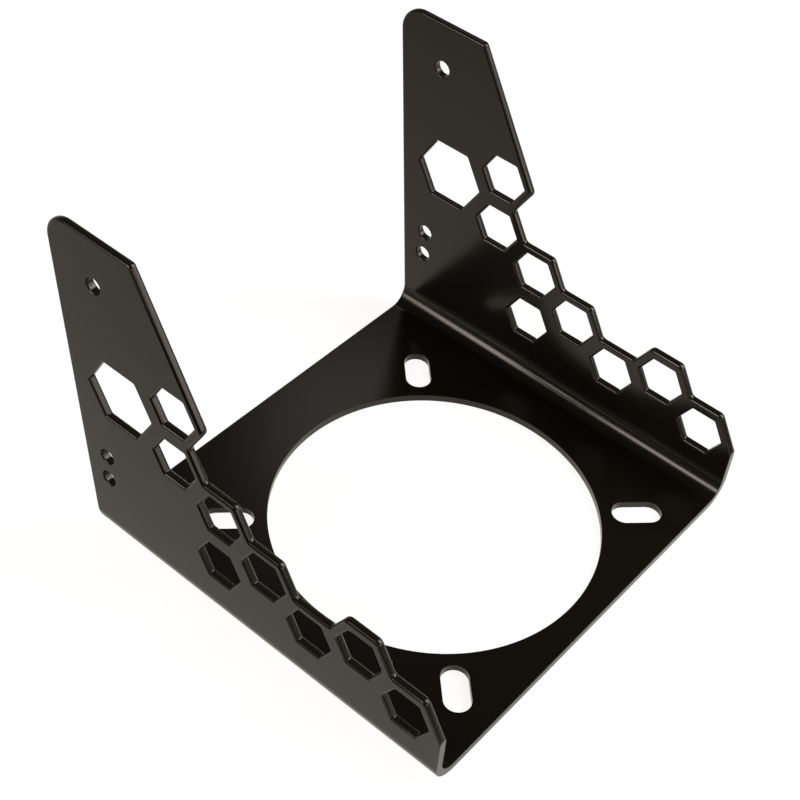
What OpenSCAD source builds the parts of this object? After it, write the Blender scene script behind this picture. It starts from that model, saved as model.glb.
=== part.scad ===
// Motor mounting bracket, folded from one sheet of metal.
// A base plate with a large motor bore and four slots on the diagonals lies between two
// upright wings. The wings are mirror images. Their front outline steps down along the
// cells of a honeycomb, and the same cells are cut out of them with webs in between.
// Origin: centre of the motor bore on the underside of the base plate.
// +Z up, +Y towards the tall rear edge, X across the two wings. All sizes in millimetres.

/* [Folded sheet] */
// width over the outer faces of the wings
overall_width = 165; // [158:0.5:180]
// thickness of the sheet
sheet_thickness = 3; // [2:0.1:4]
// radius on the inner side of the folds
inner_fold_radius = 7; // [3:0.5:9]
// front edge of the plate and wings, ahead of the bore centre
front_reach = 68; // [65:0.5:72]
// rear edge of the plate, behind the bore centre
rear_reach = 82.5; // [78:0.5:92]
// height from the underside of the plate to the top edge of the wings
overall_height = 133; // [128:0.5:150]
// angle by which the rear edge of the wings leans outwards
rear_lean = 6; // [0:0.5:10]

/* [Motor bore and slots] */
// diameter of the bore in the base plate
bore_diameter = 118; // [100:0.5:120]
// diameter of the circle through the slot centres
slot_circle = 145; // [142:0.5:152]
// direction of the first slot, from the X axis
slot_angle = 45; // [40:1:50]
// length of a slot from end to end
slot_length = 18; // [12:0.5:20]
// width of a slot
slot_width = 9.5; // [6:0.5:11]

/* [Honeycomb] */
// distance between neighbouring cell centres
cell_pitch = 22.3; // [21.5:0.1:22.9]
// size of a small cut-out across its flats
cutout_across_flats = 16.3; // [12:0.1:18]
// rounding in the corners of the cut-outs
cutout_corner_radius = 0.6; // [0.3:0.1:3]
// centre of the foremost cell, behind the front edge
foremost_cell_inset = 14.1; // [13:0.1:16]
// centre of the topmost cell, above the underside
topmost_cell_z = 84; // [80:0.5:88]
// how much lower the two front cells sit than the honeycomb
front_cell_drop = 1.8; // [0:0.1:4]
// how much further forward the two front cells sit than the honeycomb
front_cell_advance = 0.8; // [0:0.1:2]

/* [Large cut-out] */
// size of the large hexagon across its flats
large_across_flats = 24.5; // [18:0.5:28]
// centre of the large hexagon, behind the centre of the topmost cell
large_setback = 23.8; // [23:0.1:27]
// centre of the large hexagon, below the centre of the topmost cell
large_drop = 11.4; // [10:0.1:13]

/* [Fixing holes] */
// diameter of the round holes near the rear edge
fixing_diameter = 6.5; // [4:0.1:8.5]
// distance of the round holes from the rear edge at its foot
fixing_inset = 7.1; // [6:0.1:10]
// height of the upper hole above the underside
upper_fixing_z = 115; // [105:0.5:120]
// height of the middle hole above the underside
middle_fixing_z = 40.5; // [39:0.5:48]
// height of the lower hole above the underside
lower_fixing_z = 30; // [20:0.5:32]

/* [Outline corners] */
// radius of the outward corners of the stepped outline
step_corner_radius = 2.5; // [0.5:0.1:5]
// radius of the inward corners of the stepped outline
notch_corner_radius = 1.8; // [0.5:0.1:5]
// radius of the corner between the top edge and the rear edge
rear_corner_radius = 9; // [1:0.5:15]
// radius of the corner between the top edge and the stepped outline
top_corner_radius = 1.8; // [0.5:0.1:8]

/* [Hidden] */
sheet_colour = "#2c2926";

// segments of a full circle, for smooth round shapes
round_segments = 96;
// how far a cutting shape runs past the sheet on each side
run_past = 5;
// share of a radius by which a rounding sits nearer its corner, so that its arc crosses both edges
rounding_shift = 0.002;

outer_fold_radius = inner_fold_radius + sheet_thickness;
// the wings reach behind the plate because their rear edge leans
rear_top_y = rear_reach + (overall_height - sheet_thickness) * tan(rear_lean);

// a cell's own corner distance, with its half of each web
cell_radius = cell_pitch / sqrt(3);
// distance between neighbouring columns and rows of the honeycomb
column_step = cell_pitch * sqrt(3) / 2;
row_step = cell_pitch / 2;

// cells as [column, row], counted forwards and downwards from the topmost cell
rear_cells = [[0, 0], [0, 2], [1, 3], [1, 5], [2, 4], [3, 5]];
front_cells = [[4, 4], [5, 5]];
// the topmost cell follows from the foremost one, which keeps its distance to the front edge
foremost_column = front_cells[1][0];
topmost_cell_y = foremost_cell_inset + front_cell_advance - front_reach + foremost_column * column_step;

large_centre = [topmost_cell_y + large_setback, topmost_cell_z - large_drop];
fixing_y = rear_reach - fixing_inset;

function cell_centre(cell) = [
    topmost_cell_y - cell[0] * column_step,
    topmost_cell_z - cell[1] * row_step
];
function front_cell_centre(cell) = cell_centre(cell) - [front_cell_advance, front_cell_drop];

rear_centres = [for (cell = rear_cells) cell_centre(cell)];
front_centres = [for (cell = front_cells) front_cell_centre(cell)];

// corners of a cell that the stepped outline passes
function front_corner(centre) = centre - [cell_radius, 0];
function upper_front_corner(centre) = centre + [-cell_radius / 2, row_step];
function lower_front_corner(centre) = centre + [-cell_radius / 2, -row_step];
function upper_rear_corner(centre) = centre + [cell_radius / 2, row_step];

// the topmost cell's upper front edge, carried on to the top edge of the wing
outline_top = [
    rear_centres[0][0] - cell_radius + (overall_height - rear_centres[0][1]) / sqrt(3),
    overall_height
];
// the last rear cell's top edge, carried on to the first front cell's slope
valley_z = rear_centres[5][1] + row_step;
outline_valley = [
    front_centres[0][0] + cell_radius - (valley_z - front_centres[0][1]) / sqrt(3),
    valley_z
];
// the foremost cell's slope, carried on to the front edge of the wing
outline_front = [
    -front_reach,
    front_centres[1][1] - (front_centres[1][0] - cell_radius + front_reach) * sqrt(3)
];

// side outline as [y, z, corner radius]
side_outline = [
    [-front_reach, 0, 0],
    [rear_reach, 0, 0],
    [rear_reach, sheet_thickness, 0],
    [rear_top_y, overall_height, rear_corner_radius],
    concat(outline_top, top_corner_radius),
    concat(front_corner(rear_centres[0]), step_corner_radius),
    concat(lower_front_corner(rear_centres[0]), notch_corner_radius),
    concat(front_corner(rear_centres[1]), notch_corner_radius),
    concat(upper_front_corner(rear_centres[2]), step_corner_radius),
    concat(front_corner(rear_centres[2]), notch_corner_radius),
    concat(upper_front_corner(rear_centres[4]), step_corner_radius),
    concat(front_corner(rear_centres[4]), notch_corner_radius),
    concat(outline_valley, notch_corner_radius),
    concat(upper_rear_corner(front_centres[0]), step_corner_radius),
    concat(upper_front_corner(front_centres[0]), step_corner_radius),
    concat(front_corner(front_centres[0]), notch_corner_radius),
    concat(upper_front_corner(front_centres[1]), step_corner_radius),
    concat(outline_front, step_corner_radius)
];

function unit(v) = v / norm(v);
function hexagon_corners(across_flats, corner_radius) = [
    for (k = [0 : 5])
        concat(across_flats / sqrt(3) * [cos(60 * k), sin(60 * k)], corner_radius)
];

// what lies between a corner's two edges and its rounding
module corner_sliver(before, corner, after, radius) {
    to_before = unit(before - corner);
    to_after = unit(after - corner);
    inwards = unit(to_before + to_after);
    half_angle = acos(to_before * to_after) / 2;
    tangent_length = radius / tan(half_angle);
    centre = corner + inwards * radius * (1 / sin(half_angle) - rounding_shift);
    difference() {
        polygon([
            corner + to_before * tangent_length,
            corner - inwards * radius,
            corner + to_after * tangent_length,
            centre
        ]);
        translate(centre) circle(r = radius, $fn = round_segments);
    }
}

// slivers of the corners that turn the wanted way: 1 is outward, -1 is inward
module corner_slivers(corners, way) {
    count = len(corners);
    for (i = [0 : count - 1]) {
        before = [for (k = [0, 1]) corners[(i + count - 1) % count][k]];
        corner = [for (k = [0, 1]) corners[i][k]];
        after = [for (k = [0, 1]) corners[(i + 1) % count][k]];
        radius = corners[i][2];
        turn = cross(corner - before, after - corner);
        // both kinds of sliver are drawn anticlockwise
        first = way > 0 ? before : after;
        second = way > 0 ? after : before;
        if (radius > 0 && turn * way > 0) corner_sliver(first, corner, second, radius);
    }
}

// polygon with true arcs in its corners, from anticlockwise [x, y, radius] corners
module rounded_polygon(corners) {
    difference() {
        union() {
            polygon([for (c = corners) [c[0], c[1]]]);
            corner_slivers(corners, -1);
        }
        corner_slivers(corners, 1);
    }
}

// quarter of the ring that the sheet makes in a fold, around the origin, down and to +X
module fold_ring() {
    intersection() {
        difference() {
            circle(r = outer_fold_radius, $fn = round_segments);
            circle(r = inner_fold_radius, $fn = round_segments);
        }
        translate([0, -outer_fold_radius]) square(outer_fold_radius);
    }
}

// half of the section across the folds, in X and Z
module half_section() {
    square([overall_width / 2 - outer_fold_radius, sheet_thickness]);
    translate([overall_width / 2 - outer_fold_radius, outer_fold_radius]) fold_ring();
    translate([overall_width / 2 - sheet_thickness, outer_fold_radius])
        square([sheet_thickness, overall_height - outer_fold_radius]);
}

// the folded sheet before its wings are cut to their outline
module folded_blank() {
    blank_length = front_reach + rear_top_y;
    translate([0, rear_top_y, 0])
        rotate([90, 0, 0])
            linear_extrude(height = blank_length) {
                half_section();
                mirror([1, 0]) half_section();
            }
}

// shapes drawn in Y and Z, carried across both wings
module across_wings() {
    translate([-overall_width / 2 - run_past, 0, 0])
        rotate([90, 0, 90])
            linear_extrude(height = overall_width + 2 * run_past) children();
}

module hexagon_cutout(centre, across_flats) {
    translate(centre) rounded_polygon(hexagon_corners(across_flats, cutout_corner_radius));
}

module wing_cutouts() {
    for (centre = concat(rear_centres, front_centres))
        hexagon_cutout(centre, cutout_across_flats);
    hexagon_cutout(large_centre, large_across_flats);
    for (z = [upper_fixing_z, middle_fixing_z, lower_fixing_z])
        translate([fixing_y, z]) circle(d = fixing_diameter, $fn = round_segments);
}

// a slot with round ends, along X
module slot_shape() {
    straight = slot_length - slot_width;
    square([straight, slot_width], center = true);
    for (side = [-1, 1])
        translate([side * straight / 2, 0]) circle(d = slot_width, $fn = round_segments);
}

module plate_cutouts() {
    translate([0, 0, -run_past])
        linear_extrude(height = sheet_thickness + 2 * run_past) {
            circle(d = bore_diameter, $fn = round_segments);
            for (k = [0 : 3])
                rotate(slot_angle + 90 * k) translate([slot_circle / 2, 0]) slot_shape();
        }
}

module bracket() {
    color(sheet_colour)
        difference() {
            intersection() {
                folded_blank();
                across_wings() rounded_polygon(side_outline);
            }
            across_wings() wing_cutouts();
            plate_cutouts();
        }
}

bracket();
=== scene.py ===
# %% [markdown]
# # A folded bracket for a motor
#
# The real object is one sheet of metal with a satin black coating. It was cut flat, then its
# two sides were folded up into wings. The wings carry a honeycomb along their stepped front
# edge, and the plate between them has a large bore for a motor and slots for its bolts.
#
# The measured solid of the bracket is already packed. It has the right sizes but sharp edges.
# In this lesson the bracket is modelled again the way a workshop would make it: fold a sheet,
# cut its side outline, punch its holes, and break every edge. Then it gets its coating, a pale
# floor, lamps and a camera.

# %% Load the measured bracket
from math import atan2, cos, pi, radians, sin, sqrt, tan

import bmesh
import bpy
from mathutils import Matrix, Vector


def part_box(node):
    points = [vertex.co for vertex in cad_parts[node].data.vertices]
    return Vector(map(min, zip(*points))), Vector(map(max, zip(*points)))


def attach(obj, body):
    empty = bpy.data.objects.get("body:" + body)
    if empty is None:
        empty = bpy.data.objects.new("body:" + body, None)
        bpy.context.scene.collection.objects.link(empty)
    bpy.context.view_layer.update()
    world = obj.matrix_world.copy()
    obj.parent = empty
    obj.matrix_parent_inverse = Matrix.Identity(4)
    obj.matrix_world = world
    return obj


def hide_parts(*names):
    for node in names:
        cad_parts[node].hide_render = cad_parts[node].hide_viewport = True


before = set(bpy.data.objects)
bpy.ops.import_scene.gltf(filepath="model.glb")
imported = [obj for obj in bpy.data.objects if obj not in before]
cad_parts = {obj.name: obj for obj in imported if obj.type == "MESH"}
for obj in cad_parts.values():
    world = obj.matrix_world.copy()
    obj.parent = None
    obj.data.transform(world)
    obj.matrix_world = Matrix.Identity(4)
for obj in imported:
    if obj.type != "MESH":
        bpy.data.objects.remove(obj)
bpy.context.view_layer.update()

MM = 0.001

# %% [markdown]
# ## Sizes
#
# The frame gives the width, the height and the front edge. What can't be read from a box is
# named here: the sheet's thickness, the radius of its folds, and where the rear edge starts
# before it leans outwards. All lengths are in metres, so the sizes in millimetres are
# multiplied by MM. The blank runs past its final edges by the spare length. Places closer than
# tiny count as the same when edges are picked, and corners closer than the weld are joined.

# %% Name the driving sizes
low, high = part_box("bracket")
HALF_WIDTH = high.x
HEIGHT = high.z
FRONT = low.y
REAR = 82.5 * MM
REAR_LEAN = radians(6)
SHEET = 3 * MM
FOLD_RADIUS = 10 * MM
SPARE = 5 * MM
TINY = MM / 100
WELD = MM / 1000
ALONG_X = Vector((1, 0, 0))
print("Outer fold radius over sheet thickness:", round(FOLD_RADIUS / SHEET, 2))

# %% [markdown]
# ## Helpers for working by hand
#
# Operators act on whatever is selected, and loading the frame leaves its parts selected. So
# each step first deselects everything, then selects one piece and opens it for editing. Edges
# and faces are picked in code by where they lie or which way they point.

# %% Select, edit and apply
def pick(piece):
    bpy.ops.object.select_all(action="DESELECT")
    piece.select_set(True)
    bpy.context.view_layer.objects.active = piece


def edit(piece):
    pick(piece)
    bpy.ops.object.mode_set(mode="EDIT")


def leave_edit():
    bpy.ops.object.mode_set(mode="OBJECT")


def select_edges(piece, wanted):
    bpy.ops.mesh.select_mode(type="EDGE")
    bpy.ops.mesh.select_all(action="DESELECT")
    mesh = bmesh.from_edit_mesh(piece.data)
    for edge in mesh.edges:
        edge.select_set(wanted(*(corner.co for corner in edge.verts)))
    mesh.select_flush_mode()
    bmesh.update_edit_mesh(piece.data)


def fix_place(piece):
    pick(piece)
    bpy.ops.object.transform_apply(location=True, rotation=True, scale=True)


def apply_modifier(piece, kind, **settings):
    pick(piece)
    modifier = piece.modifiers.new(kind.title(), kind)
    for name, value in settings.items():
        setattr(modifier, name, value)
    bpy.ops.object.modifier_apply(modifier=modifier.name)


def trim(piece, tool, operation):
    apply_modifier(piece, "BOOLEAN", object=tool, operation=operation, solver="EXACT")
    bpy.data.objects.remove(tool)
    print(operation.title(), "leaves", len(piece.data.polygons), "faces")


# %% [markdown]
# ## The folded blank
#
# A press brake bends flat sheet round a rounded tool, so a fold is part of a tube. A plane
# stands for the outer face of the plate. Each side edge is spun a quarter turn about the
# centre of its fold and then pulled straight up. Solidify gives the sheet its thickness at
# the end, which keeps it even round the folds. The blank is a little long and tall, because
# the outline is cut from it next.

# %% Fold the sheet
FOLD_STEPS = 24
FLAT_HALF = HALF_WIDTH - FOLD_RADIUS
REAR_TOP = REAR + (HEIGHT - SHEET) * tan(REAR_LEAN)


def fold_up_side(piece, side):
    edge_x = side * FLAT_HALF
    select_edges(piece, lambda a, b: abs(a.x - edge_x) < TINY and abs(b.x - edge_x) < TINY)
    bpy.ops.mesh.spin(
        steps=FOLD_STEPS,
        angle=side * pi / 2,
        center=(edge_x, 0, FOLD_RADIUS),
        axis=(0, 1, 0),
    )
    rise = HEIGHT - FOLD_RADIUS + SPARE
    bpy.ops.mesh.extrude_region_move(TRANSFORM_OT_translate={"value": (0, 0, rise)})


def folded_blank():
    front, rear = FRONT - 2 * SPARE, REAR_TOP + SPARE
    bpy.ops.mesh.primitive_plane_add(size=1, location=(0, (front + rear) / 2, 0))
    blank = bpy.context.object
    blank.scale = (2 * FLAT_HALF, rear - front, 1)
    fix_place(blank)
    edit(blank)
    for side in (-1, 1):
        fold_up_side(blank, side)
    bpy.ops.mesh.select_all(action="SELECT")
    bpy.ops.mesh.remove_doubles(threshold=WELD)
    leave_edit()
    return blank


bracket = folded_blank()
bracket.name = "sheet_bracket"
print("Blank before thickness:", [round(side / MM, 2) for side in bracket.dimensions])

# %% [markdown]
# The blank is still a skin with no thickness. Solidify pushes a second skin along the normals
# by the sheet's thickness. The normals have to point into the bracket, so that the sheet
# grows inwards and the outer width stays right.

# %% Give the sheet its thickness
def turn_normals_inwards(piece):
    edit(piece)
    bpy.ops.mesh.select_all(action="SELECT")
    bpy.ops.mesh.normals_make_consistent(inside=False)
    leave_edit()
    plate = min(piece.data.polygons, key=lambda face: face.center.z)
    if plate.normal.z < 0:
        edit(piece)
        bpy.ops.mesh.flip_normals()
        leave_edit()


turn_normals_inwards(bracket)
apply_modifier(bracket, "SOLIDIFY", thickness=SHEET, offset=1, use_even_offset=True)
print("Blank with thickness:", [round(side / MM, 2) for side in bracket.dimensions])

# %% [markdown]
# ## The honeycomb
#
# All cells sit on one lattice of regular hexagons with flat tops. A column is the pitch times
# the square root of three, halved, further forward, and a row is half a pitch further down.
# The cells are counted from the topmost one. The two front cells sit a little lower and
# further forward than the lattice, as the photograph shows.

# %% Lay out the cells
PITCH = 22.3 * MM
CELL_FLATS = 16.3 * MM
CELL_RADIUS = PITCH / sqrt(3)
COLUMN_STEP = PITCH * sqrt(3) / 2
ROW_STEP = PITCH / 2
FOREMOST_INSET = 14.1 * MM
TOPMOST_Z = 84 * MM
FRONT_ADVANCE = 0.8 * MM
FRONT_DROP = 1.8 * MM
REAR_CELLS = [(0, 0), (0, 2), (1, 3), (1, 5), (2, 4), (3, 5)]
FRONT_CELLS = [(4, 4), (5, 5)]
TOPMOST_Y = FRONT + FOREMOST_INSET + FRONT_ADVANCE + FRONT_CELLS[-1][0] * COLUMN_STEP


def at(y, z):
    return Vector((0, y, z))


def cell_centre(column, row):
    return at(TOPMOST_Y - column * COLUMN_STEP, TOPMOST_Z - row * ROW_STEP)


rear_centres = [cell_centre(*cell) for cell in REAR_CELLS]
front_centres = [cell_centre(*cell) - at(FRONT_ADVANCE, FRONT_DROP) for cell in FRONT_CELLS]
print("Web between two cells in mm:", round((PITCH - CELL_FLATS) / MM, 1))

# %% [markdown]
# ## The side outline
#
# Seen from the side, the wing's front edge follows the corners of the cells. The outline is
# drawn as by hand: a plane is merged down to a single vertex, and that vertex is extruded
# from corner to corner. At a rounded corner it stops short and is spun about the centre of
# the rounding, so every rounding is a true arc.

# %% List the outline's corners
SLOPE = sqrt(3)
STEP_ROUND = 2.5 * MM
NOTCH_ROUND = 1.8 * MM
REAR_ROUND = 9 * MM
TOP_ROUND = 1.8 * MM


def front_of(centre):
    return centre + at(-CELL_RADIUS, 0)


def upper_front_of(centre):
    return centre + at(-CELL_RADIUS / 2, ROW_STEP)


def outline_corners():
    """Corners of the side outline with their roundings, seen from +X, anticlockwise."""
    topmost, second, third, _, fifth, sixth = rear_centres
    seventh, foremost = front_centres
    valley_z = sixth.z + ROW_STEP
    return [
        (at(FRONT - SPARE, -SPARE), 0),
        (at(REAR - (SHEET + SPARE) * tan(REAR_LEAN), -SPARE), 0),
        (at(REAR_TOP, HEIGHT), REAR_ROUND),
        (at(front_of(topmost).y + (HEIGHT - topmost.z) / SLOPE, HEIGHT), TOP_ROUND),
        (front_of(topmost), STEP_ROUND),
        (topmost + at(-CELL_RADIUS / 2, -ROW_STEP), NOTCH_ROUND),
        (front_of(second), NOTCH_ROUND),
        (upper_front_of(third), STEP_ROUND),
        (front_of(third), NOTCH_ROUND),
        (upper_front_of(fifth), STEP_ROUND),
        (front_of(fifth), NOTCH_ROUND),
        (at(seventh.y + CELL_RADIUS - (valley_z - seventh.z) / SLOPE, valley_z), NOTCH_ROUND),
        (seventh + at(CELL_RADIUS / 2, ROW_STEP), STEP_ROUND),
        (upper_front_of(seventh), STEP_ROUND),
        (front_of(seventh), NOTCH_ROUND),
        (upper_front_of(foremost), STEP_ROUND),
        (at(FRONT - SPARE, foremost.z - (front_of(foremost).y - FRONT + SPARE) * SLOPE), 0),
    ]


corners = outline_corners()
print("The outline has", len(corners), "corners")

# %% Draw the outline and pull it across both wings
ARC_STEP = radians(6)
FEWEST_ARC_STEPS = 3


def start_line(name, point):
    bpy.ops.mesh.primitive_plane_add(size=MM, location=point)
    bpy.context.object.name = name
    bpy.ops.object.mode_set(mode="EDIT")
    bpy.ops.mesh.select_mode(type="VERT")
    bpy.ops.mesh.select_all(action="SELECT")
    bpy.ops.mesh.merge(type="CENTER")
    return bpy.context.object


def draw_to(here, there):
    bpy.ops.mesh.extrude_vertices_move(TRANSFORM_OT_translate={"value": there - here})
    return there


def draw_corner(here, before, corner, after, rounding):
    """Draws from here to a corner and round it, and returns where the line has got to."""
    if not rounding:
        return draw_to(here, corner)
    into, out = (corner - before).normalized(), (after - corner).normalized()
    turn = into.cross(out).x
    angle = into.angle(out)
    cut_back = rounding * tan(angle / 2)
    here = draw_to(here, corner - into * cut_back)
    inwards = ALONG_X.cross(into) * (1 if turn > 0 else -1)
    steps = max(FEWEST_ARC_STEPS, round(angle / ARC_STEP))
    bpy.ops.mesh.spin(
        steps=steps,
        angle=-angle if turn > 0 else angle,
        center=here + inwards * rounding,
        axis=ALONG_X,
    )
    return corner + out * cut_back


def drawn_outline(corners):
    bpy.ops.object.select_all(action="DESELECT")
    outline = start_line("side_outline", corners[0][0])
    here = corners[0][0]
    count = len(corners)
    for i in range(1, count):
        corner, rounding = corners[i]
        here = draw_corner(here, corners[i - 1][0], corner, corners[(i + 1) % count][0], rounding)
    draw_to(here, corners[0][0])
    bpy.ops.mesh.select_all(action="SELECT")
    bpy.ops.mesh.remove_doubles(threshold=WELD)
    bpy.ops.mesh.edge_face_add()
    return outline


outline = drawn_outline(corners)
across = 2 * (HALF_WIDTH + SPARE)
bpy.ops.mesh.extrude_region_move(TRANSFORM_OT_translate={"value": (across, 0, 0)})
bpy.ops.mesh.select_all(action="SELECT")
bpy.ops.transform.translate(value=(-across / 2, 0, 0))
bpy.ops.mesh.normals_make_consistent(inside=False)
leave_edit()
fix_place(outline)
print("Outline prism:", [round(side / MM, 2) for side in outline.dimensions])

# %% Trim the blank to the outline
trim(bracket, outline, "INTERSECT")
print("Trimmed bracket:", [round(side / MM, 2) for side in bracket.dimensions])

# %% [markdown]
# ## The cut-outs
#
# A laser cuts straight through both wings at the same place, so one cutter can run across the
# whole width. Each kind of cutter is modelled once. The hexagon is a six-sided cylinder laid
# along X with its long edges beveled a little, and it is copied to every cell. The two
# foremost cells sink a little in their outline, as the photograph shows them.
#
# The rims are rounded later, and a round rim lets more light past than a sharp one. So the
# hexagons and the fixing holes are cut a little smaller, to look their right size in the end.

# %% Make the cutters for the wings
LARGE_FLATS = 24.5 * MM
LARGE_SETBACK = 23.8 * MM
LARGE_DROP = 11.4 * MM
CORNER_ROUND = 0.6 * MM
CORNER_SEGMENTS = 4
RIM_GAIN = 0.5 * MM
CELL_SINK = 0.7 * MM
FIXING_RADIUS = 3.25 * MM
FIXING_SIDES = 48
FIXING_INSET = 7.1 * MM
FIXING_HEIGHTS = [115 * MM, 40.5 * MM, 30 * MM]
CUT_LENGTH = 2 * (HALF_WIDTH + SPARE)


def lay_along_x(name, sides, radius):
    bpy.ops.mesh.primitive_cylinder_add(
        vertices=sides, radius=radius, depth=CUT_LENGTH, rotation=(0, pi / 2, 0)
    )
    bpy.context.object.name = name
    fix_place(bpy.context.object)
    return bpy.context.object


def hexagon_cutter(name, across_flats):
    cutter = lay_along_x(name, 6, across_flats / sqrt(3))
    edit(cutter)
    select_edges(cutter, lambda a, b: abs(a.x - b.x) > TINY)
    cut_back = CORNER_ROUND * tan(pi / 6)
    bpy.ops.mesh.bevel(offset=cut_back, segments=CORNER_SEGMENTS, affect="EDGES")
    leave_edit()
    return cutter


def copy_to(cutter, places):
    """Puts the cutter at the first place and a copy with its own mesh at every other one."""
    copies = [cutter]
    for _ in places[1:]:
        pick(cutter)
        bpy.ops.object.duplicate(linked=False)
        copies.append(bpy.context.object)
    for copy, place in zip(copies, places):
        copy.location = place
    return copies


def joined(pieces):
    bpy.ops.object.select_all(action="DESELECT")
    for piece in pieces:
        piece.select_set(True)
    bpy.context.view_layer.objects.active = pieces[0]
    bpy.ops.object.join()
    fix_place(pieces[0])
    return pieces[0]


cell_centres = rear_centres + [centre + at(0, -CELL_SINK) for centre in front_centres]
cells = copy_to(hexagon_cutter("cell_cutter", CELL_FLATS - RIM_GAIN), cell_centres)
large = hexagon_cutter("large_cutter", LARGE_FLATS - RIM_GAIN)
large_centre = rear_centres[0] + at(LARGE_SETBACK, -LARGE_DROP)
large.location = large_centre
holes = copy_to(
    lay_along_x("fixing_cutter", FIXING_SIDES, FIXING_RADIUS - RIM_GAIN / 2),
    [at(REAR - FIXING_INSET, height) for height in FIXING_HEIGHTS],
)
wing_cutter = joined([*cells, large, *holes])
print("The wing cutter has", len(wing_cutter.data.polygons), "faces")

# %% Make the cutters for the plate
BORE_RADIUS = 59 * MM
BORE_SIDES = 180
SLOT_CIRCLE_RADIUS = 72.5 * MM
SLOT_LENGTH = 18 * MM
SLOT_WIDTH = 9.5 * MM
SLOT_END_SEGMENTS = 20
FIRST_SLOT_ANGLE = pi / 4
PLATE_CUT_HEIGHT = 4 * SHEET


def bore_cutter():
    bpy.ops.mesh.primitive_cylinder_add(
        vertices=BORE_SIDES, radius=BORE_RADIUS, depth=PLATE_CUT_HEIGHT
    )
    bpy.context.object.name = "bore_cutter"
    return bpy.context.object


def slot_cutter():
    bpy.ops.mesh.primitive_cube_add(size=1)
    slot = bpy.context.object
    slot.name = "slot_cutter"
    slot.scale = (SLOT_LENGTH, SLOT_WIDTH, PLATE_CUT_HEIGHT)
    fix_place(slot)
    edit(slot)
    select_edges(slot, lambda a, b: abs(a.z - b.z) > TINY)
    bpy.ops.mesh.bevel(offset=SLOT_WIDTH / 2, segments=SLOT_END_SEGMENTS, affect="EDGES")
    bpy.ops.mesh.select_all(action="SELECT")
    bpy.ops.mesh.remove_doubles(threshold=TINY)
    leave_edit()
    return slot


def turned_out(angle):
    return Vector((cos(angle), sin(angle), 0)) * SLOT_CIRCLE_RADIUS


slot_angles = [FIRST_SLOT_ANGLE + quarter * pi / 2 for quarter in range(4)]
slots = copy_to(slot_cutter(), [turned_out(angle) for angle in slot_angles])
for slot, angle in zip(slots, slot_angles):
    slot.rotation_euler.z = angle
plate_cutter = joined([bore_cutter(), *slots])
print("The plate cutter has", len(plate_cutter.data.polygons), "faces")

# %% Cut through the wings and the plate
trim(bracket, wing_cutter, "DIFFERENCE")
trim(bracket, plate_cutter, "DIFFERENCE")

# %% [markdown]
# ## Break the edges
#
# The photograph shows several kinds of rim. Round the wings and in the honeycomb the edge is
# worked to a soft rounding of about a millimetre, which catches a line of light beside a dark
# one. The fixing holes have a smaller round rim, and the bore and the slots keep a crisp one.
# Bevel weights tell the kinds apart: every sharp edge gets the share of the widest rounding
# that its place asks for, and one Bevel modifier then does them all.

# %% Weigh the rims
WING_RIM = 1.15 * MM
CELL_RIM = 0.95 * MM
HOLE_RIM = 0.5 * MM
CRISP_RIM = 0.2 * MM
RIM_SEGMENTS = 5
CRISP_SEGMENTS = 3
SHARP = radians(35)
NEARLY_FLAT = radians(0.3)


def inside_hexagon(place, centre, across_flats):
    return (place - centre).length < across_flats / sqrt(3) + TINY


def rim_width(point):
    """How wide the sharp edge at this point is broken."""
    if abs(point.x) < FLAT_HALF:
        in_plate = FRONT + MM < point.y < REAR - MM
        return CRISP_RIM if in_plate else WING_RIM
    place = at(point.y, point.z)
    for height in FIXING_HEIGHTS:
        if (place - at(REAR - FIXING_INSET, height)).length < FIXING_RADIUS + TINY:
            return HOLE_RIM
    if any(inside_hexagon(place, centre, CELL_FLATS) for centre in cell_centres):
        return CELL_RIM
    if inside_hexagon(place, large_centre, LARGE_FLATS):
        return CELL_RIM
    return WING_RIM


def weigh_rims(piece):
    edit(piece)
    mesh = bmesh.from_edit_mesh(piece.data)
    weights = mesh.edges.layers.float.new("bevel_weight_edge")
    for edge in mesh.edges:
        if edge.calc_face_angle(0) > SHARP:
            middle = (edge.verts[0].co + edge.verts[1].co) / 2
            edge[weights] = rim_width(middle) / WING_RIM
    bmesh.update_edit_mesh(piece.data)
    leave_edit()


def clean(piece):
    edit(piece)
    bpy.ops.mesh.select_all(action="SELECT")
    bpy.ops.mesh.remove_doubles(threshold=2 * WELD)
    bpy.ops.mesh.dissolve_limited(angle_limit=NEARLY_FLAT)
    bpy.ops.mesh.normals_make_consistent(inside=False)
    leave_edit()


clean(bracket)
weigh_rims(bracket)
apply_modifier(
    bracket,
    "BEVEL",
    width=WING_RIM,
    segments=RIM_SEGMENTS,
    limit_method="WEIGHT",
    miter_outer="MITER_ARC",
    loop_slide=False,
    use_clamp_overlap=False,
)
print("Rims broken:", len(bracket.data.polygons), "faces")

# %% [markdown]
# The front end is cut square after that. The blank and its outline ran on past it, so one
# bisect leaves a flat, crisp end across the plate and both folds, and a small bevel breaks it.

# %% Cut the front end square
edit(bracket)
bpy.ops.mesh.select_all(action="SELECT")
bpy.ops.mesh.bisect(
    plane_co=(0, FRONT, 0),
    plane_no=(0, -1, 0),
    use_fill=True,
    clear_outer=True,
    threshold=WELD,
)
select_edges(bracket, lambda a, b: max(a.y, b.y) < FRONT + WELD)
bpy.ops.mesh.bevel(
    offset=CRISP_RIM,
    segments=CRISP_SEGMENTS,
    affect="EDGES",
    clamp_overlap=False,
    loop_slide=False,
)
leave_edit()
pick(bracket)
bpy.ops.object.shade_smooth_by_angle(angle=SHARP)
apply_modifier(bracket, "WEIGHTED_NORMAL", keep_sharp=True)
print("Finished sheet:", [round(side / MM, 2) for side in bracket.dimensions])

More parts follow.
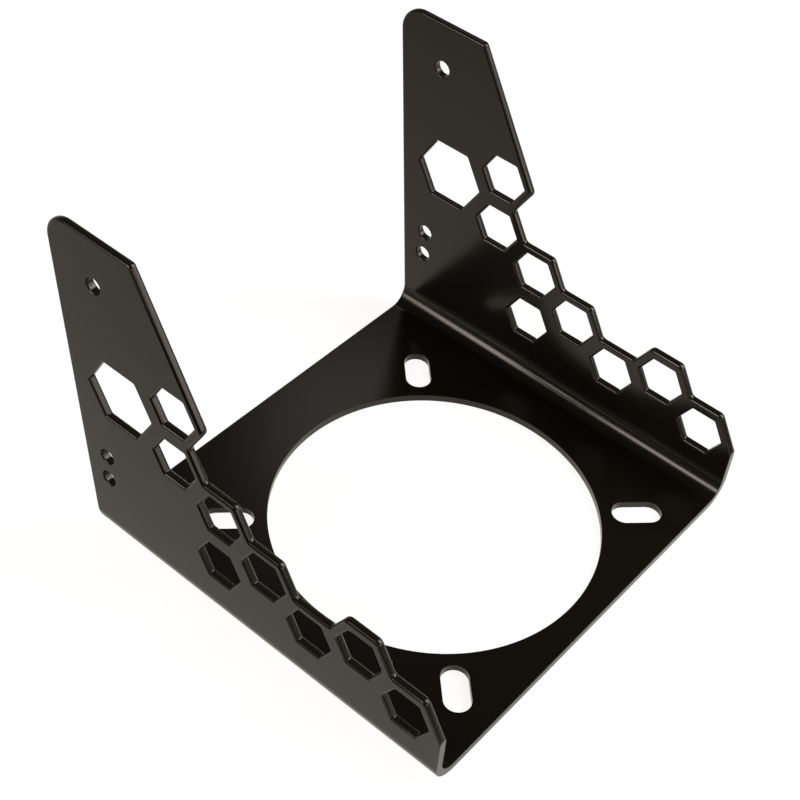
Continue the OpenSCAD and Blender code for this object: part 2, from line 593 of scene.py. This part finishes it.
# %% Put the modelled sheet in the measured bracket's place
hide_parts("bracket")
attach(bracket, "root")
print("The sheet rides on root")

# %% [markdown]
# ## The coating
#
# The sheet has a thin satin black coat. Almost all that the eye sees of it is gloss: the paint
# itself returns well under one percent of the light, and its surface mirrors a few percent,
# softly. A coat is never quite even, so the roughness drifts a little over the surface, and a
# very fine bump gives the skin its grain. The gloss is tinted a little, because all the
# highlights in the photograph are warm. On the cut edges the laser leaves fine ripples that
# the coat only half covers, so they get a second material with a coarser bump. All patterns
# read Object coordinates, so they stay on the metal from every side.

# %% Mix the satin black
COAT_COLOUR = (0.0036, 0.0024, 0.0013, 1)
FACE_SPECULAR = 0.25
EDGE_SPECULAR = 0.3
GLOSS_TINT = (1.0, 0.88, 0.76, 1)
FACE_ROUGHNESS = (0.16, 0.22)
EDGE_ROUGHNESS = (0.20, 0.28)
DRIFT_PER_METRE = 14
DRIFT_DETAIL = 3
GRAIN = {"per_metre": 2600, "strength": 0.06, "height": 0.02 * MM}
RIPPLES = {"per_metre": 900, "strength": 0.35, "height": 0.05 * MM}
BUMP_DETAIL = 2


def add_node(tree, kind, **values):
    node = tree.nodes.new(kind)
    for name, value in values.items():
        node.inputs[name].default_value = value
    return node


def drifting_roughness(tree, place, least, most):
    drift = add_node(tree, "ShaderNodeTexNoise", Scale=DRIFT_PER_METRE, Detail=DRIFT_DETAIL)
    tree.links.new(place.outputs["Object"], drift.inputs["Vector"])
    spread = tree.nodes.new("ShaderNodeMapRange")
    spread.inputs["To Min"].default_value = least
    spread.inputs["To Max"].default_value = most
    tree.links.new(drift.outputs["Fac"], spread.inputs["Value"])
    return spread.outputs["Result"]


def noisy_bump(tree, place, per_metre, strength, height):
    noise = add_node(tree, "ShaderNodeTexNoise", Scale=per_metre, Detail=BUMP_DETAIL)
    tree.links.new(place.outputs["Object"], noise.inputs["Vector"])
    bump = add_node(tree, "ShaderNodeBump", Strength=strength, Distance=height)
    tree.links.new(noise.outputs["Fac"], bump.inputs["Height"])
    return bump


def satin_black(name, specular, roughness, bumps):
    material = bpy.data.materials.new(name)
    material.use_nodes = True
    tree = material.node_tree
    coat = tree.nodes["Principled BSDF"]
    coat.inputs["Base Color"].default_value = COAT_COLOUR
    coat.inputs["Specular IOR Level"].default_value = specular
    coat.inputs["Specular Tint"].default_value = GLOSS_TINT
    place = tree.nodes.new("ShaderNodeTexCoord")
    tree.links.new(drifting_roughness(tree, place, *roughness), coat.inputs["Roughness"])
    normal = None
    for values in bumps:
        bump = noisy_bump(tree, place, **values)
        if normal:
            tree.links.new(normal, bump.inputs["Normal"])
        normal = bump.outputs["Normal"]
    tree.links.new(normal, coat.inputs["Normal"])
    return material


face_coat = satin_black("satin_black_coat", FACE_SPECULAR, FACE_ROUGHNESS, [GRAIN])
edge_coat = satin_black("coat_on_cut_edges", EDGE_SPECULAR, EDGE_ROUGHNESS, [RIPPLES, GRAIN])
print("Coats:", face_coat.name, "and", edge_coat.name)

# %% Paint the sheet and its cut edges
SKIN_GAP = MM / 50
CUT_EDGE_SLOT = 1


def off_the_skin(point):
    """How far a point lies from the two skins of the folded sheet, in the sheet's section."""
    from_fold = Vector((abs(point.x) - FLAT_HALF, point.z - FOLD_RADIUS))
    if from_fold.x < 0:
        depth = point.z
    elif from_fold.y > 0:
        depth = HALF_WIDTH - abs(point.x)
    else:
        depth = FOLD_RADIUS - from_fold.length
    return min(abs(depth), abs(SHEET - depth))


bracket.data.materials.clear()
bracket.data.materials.append(face_coat)
bracket.data.materials.append(edge_coat)
cut_faces = 0
for face in bracket.data.polygons:
    if off_the_skin(face.center) > SKIN_GAP:
        face.material_index = CUT_EDGE_SLOT
        cut_faces += 1
print(cut_faces, "faces lie on the cut edges")

# %% [markdown]
# ## The floor and the studio
#
# A black object shows its shape by what it mirrors, and the wings mirror the pale floor. So
# the floor glows for the camera and in reflections, and only the part of its light that
# comes from the lamps darkens in the object's shadow. In the photograph the mirrored floor is
# warm, and brighter on the right than on the left. That is painted into the floor for mirrored
# rays only, as a warm tint and a painted glow that rises towards one side, while the camera
# sees the floor plain white. DIM_SIDE and LIT_SIDE each hold how many metres a place lies
# towards the brighter side, and how bright the painted glow is there.
#
# The room is dim, most of all overhead, which leaves the plate black. Each lamp has one task:
# the left softbox draws the line along the fold, the front softbox lights the slanted edges,
# the high softbox puts the bright dots on the outline's corners, and the small rear lamp lays
# a soft sheen on the back of the plate. ROOM_SHADES lists the room's grey from the horizon up:
# the first number is how steeply up one looks, where 1 is straight up.

# %% Lay the floor
FLOOR_SIZE = 8
FLOOR_GAP = 0.05 * MM
FLOOR_PAINT = 0.15
FLOOR_ROUGHNESS = 0.9
FLOOR_GLOW = 0.9
FLOOR_TINT = (1.0, 0.985, 0.965, 1)
# Painted light in reflections: mirrored rays see the floor in a warmer tint, with a glow that
# rises towards one side.
PAINTED_REFLECTION_TINT = (1.0, 0.945, 0.86, 1)
BRIGHTER_SIDE = (0.914, -0.407, 0)
DIM_SIDE = (-0.2, 0.53)
LIT_SIDE = (0.0625, 1.15)


def combine(tree, operation, one, other):
    node = tree.nodes.new("ShaderNodeMath")
    node.operation = operation
    tree.links.new(one, node.inputs[0])
    tree.links.new(other, node.inputs[1])
    return node.outputs["Value"]


def painted_glow_across(tree):
    """The floor's painted glow for mirrored rays, which rises towards one side."""
    place = tree.nodes.new("ShaderNodeTexCoord")
    along = tree.nodes.new("ShaderNodeVectorMath")
    along.operation = "DOT_PRODUCT"
    along.inputs[1].default_value = BRIGHTER_SIDE
    tree.links.new(place.outputs["Object"], along.inputs[0])
    spread = tree.nodes.new("ShaderNodeMapRange")
    spread.inputs["From Min"].default_value, spread.inputs["To Min"].default_value = DIM_SIDE
    spread.inputs["From Max"].default_value, spread.inputs["To Max"].default_value = LIT_SIDE
    tree.links.new(along.outputs["Value"], spread.inputs["Value"])
    return spread.outputs["Result"]


def pale_floor():
    bpy.ops.object.select_all(action="DESELECT")
    bpy.ops.mesh.primitive_plane_add(size=FLOOR_SIZE, location=(0, 0, -FLOOR_GAP))
    floor = bpy.context.object
    floor.name = "floor"
    material = bpy.data.materials.new("pale_floor")
    material.use_nodes = True
    tree = material.node_tree
    paint = tree.nodes["Principled BSDF"]
    paint.inputs["Base Color"].default_value = (FLOOR_PAINT, FLOOR_PAINT, FLOOR_PAINT, 1)
    paint.inputs["Roughness"].default_value = FLOOR_ROUGHNESS
    paint.inputs["Specular IOR Level"].default_value = 0
    rays = tree.nodes.new("ShaderNodeLightPath").outputs
    # Reflections see the floor in a warmer, painted tint.
    tint = tree.nodes.new("ShaderNodeMixRGB")
    tint.inputs["Color1"].default_value = FLOOR_TINT
    tint.inputs["Color2"].default_value = PAINTED_REFLECTION_TINT
    tree.links.new(rays["Is Glossy Ray"], tint.inputs["Fac"])
    tree.links.new(tint.outputs["Color"], paint.inputs["Emission Color"])
    seen = combine(tree, "MAXIMUM", rays["Is Camera Ray"], rays["Is Transmission Ray"])
    # Mirrored rays get a painted glow that rises towards one side.
    mirrored = combine(tree, "MULTIPLY", rays["Is Glossy Ray"], painted_glow_across(tree))
    glow = tree.nodes.new("ShaderNodeMath")
    glow.operation = "MULTIPLY_ADD"
    glow.inputs[1].default_value = FLOOR_GLOW
    tree.links.new(seen, glow.inputs[0])
    tree.links.new(mirrored, glow.inputs[2])
    tree.links.new(glow.outputs["Value"], paint.inputs["Emission Strength"])
    floor.data.materials.append(material)


pale_floor()
print("Floor side in metres:", FLOOR_SIZE)

# %% Light the room
LAMP_DISTANCE = 1.2
ROOM_SHADES = [(0.0, 0.42), (0.25, 0.2), (0.75, 0.115)]


def studio_room():
    world = bpy.data.worlds.new("studio_room")
    bpy.context.scene.world = world
    world.use_nodes = True
    tree = world.node_tree
    place = tree.nodes.new("ShaderNodeTexCoord")
    split = tree.nodes.new("ShaderNodeSeparateXYZ")
    tree.links.new(place.outputs["Generated"], split.inputs["Vector"])
    shades = tree.nodes.new("ShaderNodeValToRGB")
    stops = shades.color_ramp.elements
    while len(stops) < len(ROOM_SHADES):
        stops.new(1)
    for stop, (height, shade) in zip(stops, ROOM_SHADES):
        stop.position = height
        stop.color = (shade, shade, shade, 1)
    tree.links.new(split.outputs["Z"], shades.inputs["Fac"])
    rays = tree.nodes.new("ShaderNodeLightPath").outputs
    seen = tree.nodes.new("ShaderNodeMixRGB")
    seen.inputs["Color2"].default_value = FLOOR_TINT
    tree.links.new(rays["Is Camera Ray"], seen.inputs["Fac"])
    tree.links.new(shades.outputs["Color"], seen.inputs["Color1"])
    tree.links.new(seen.outputs["Color"], tree.nodes["Background"].inputs["Color"])


def softbox(name, direction, width, height, radiance):
    bpy.ops.object.select_all(action="DESELECT")
    place = Vector(direction).normalized() * LAMP_DISTANCE
    bpy.ops.object.light_add(type="AREA", location=place)
    lamp = bpy.context.object
    lamp.name = name
    lamp.data.name = name
    lamp.data.shape = "RECTANGLE"
    lamp.data.size = width
    lamp.data.size_y = height
    lamp.data.energy = pi * width * height * radiance
    lamp.rotation_euler = lamp.location.to_track_quat("Z", "Y").to_euler()
    lamp.visible_camera = False


studio_room()
softbox("left_softbox", direction=(-0.84, 0.25, 0.48), width=0.72, height=0.48, radiance=13.5)
softbox("front_softbox", direction=(0.086, -0.981, 0.174), width=1.6, height=0.38, radiance=5)
softbox("high_softbox", direction=(0.513, -0.569, 0.643), width=0.5, height=1.0, radiance=10)
softbox("rear_lamp", direction=(0.529, 0.460, 0.713), width=0.18, height=0.18, radiance=1.6)
print("Lamps:", [light.name for light in bpy.data.lights])

# %% [markdown]
# Black cards stand round the bracket, as a photographer would put them. They keep the bright
# floor and the lamps out of the edges that are dark in the photograph: two in front for the
# slanted edges, and one on the left for the rounded rims on top of the steps. Only
# reflections see them, so they cast no shadow and light nothing: they are painted dark
# reflections. A card is a strip of an open cylinder, whose other faces are deleted.

# %% Stand up the black cards for the painted dark reflections
CARD_SIDES = 144


def dark_reflection_card(name, first, last, distance, height):
    """Stands a curved black card on the floor, which only reflections can see: a painted dark
    reflection.
    """
    bpy.ops.object.select_all(action="DESELECT")
    bpy.ops.mesh.primitive_cylinder_add(
        vertices=CARD_SIDES,
        radius=distance,
        depth=height,
        end_fill_type="NOTHING",
        location=(0, 0, height / 2),
    )
    card = bpy.context.object
    card.name = name
    fix_place(card)
    edit(card)
    bpy.ops.mesh.select_mode(type="FACE")
    bpy.ops.mesh.select_all(action="DESELECT")
    mesh = bmesh.from_edit_mesh(card.data)
    for face in mesh.faces:
        middle = face.calc_center_median()
        face.select_set(not first < atan2(middle.x, -middle.y) < last)
    bmesh.update_edit_mesh(card.data)
    bpy.ops.mesh.delete(type="FACE")
    leave_edit()
    material = bpy.data.materials.new(name)
    material.use_nodes = True
    paint = material.node_tree.nodes["Principled BSDF"]
    paint.inputs["Base Color"].default_value = (0, 0, 0, 1)
    paint.inputs["Specular IOR Level"].default_value = 0
    card.data.materials.append(material)
    # The card is a painted dark reflection: the camera, diffuse light and shadows pass through
    # it.
    card.visible_camera = False
    card.visible_diffuse = False
    card.visible_shadow = False


# Painted dark reflections: the arcs and sizes of the black cards.
FRONT_ARC = (radians(-75), radians(50))
LEFT_ARC = (radians(-118), radians(-75))
dark_reflection_card("near_card", *FRONT_ARC, distance=0.25, height=0.065)
dark_reflection_card("far_card", *FRONT_ARC, distance=0.70, height=0.10)
dark_reflection_card("left_card", *LEFT_ARC, distance=0.15, height=0.106)

# %% [markdown]
# ## The camera
#
# The photograph was taken from above the left front corner, with the camera turned a little
# about its own axis. The direction, the distance and the lens were found by setting the
# corners of the model on the corners in the photograph.

# %% Place the camera
CAMERA_LENS = 72.301
CAMERA_SHIFT = -0.025
CAMERA_AZIMUTH = radians(-53.536)
CAMERA_ELEVATION = radians(44.788)
CAMERA_ROLL = radians(5.763)
CAMERA_DISTANCE = 566.13 * MM
AIM = Vector((15.921, 33.060, 35.694)) * MM
SENSOR_WIDTH = 36
NEAREST_SEEN = 10 * MM


def photo_camera():
    back = Vector(
        (
            sin(CAMERA_AZIMUTH) * cos(CAMERA_ELEVATION),
            -cos(CAMERA_AZIMUTH) * cos(CAMERA_ELEVATION),
            sin(CAMERA_ELEVATION),
        )
    )
    bpy.ops.object.select_all(action="DESELECT")
    bpy.ops.object.camera_add(location=AIM + back * CAMERA_DISTANCE)
    camera = bpy.context.object
    camera.name = "photo_camera"
    level = back.to_track_quat("Z", "Y").to_matrix()
    camera.rotation_euler = (level @ Matrix.Rotation(CAMERA_ROLL, 3, "Z")).to_euler()
    camera.data.lens = CAMERA_LENS
    camera.data.shift_y = CAMERA_SHIFT
    camera.data.sensor_width = SENSOR_WIDTH
    camera.data.clip_start = NEAREST_SEEN
    bpy.context.scene.camera = camera
    return camera


camera = photo_camera()
print("Camera at:", [round(x / MM, 1) for x in camera.location])

# %% Keep the plain view settings
bpy.context.scene.view_settings.view_transform = "Standard"
print("View transform:", bpy.context.scene.view_settings.view_transform)
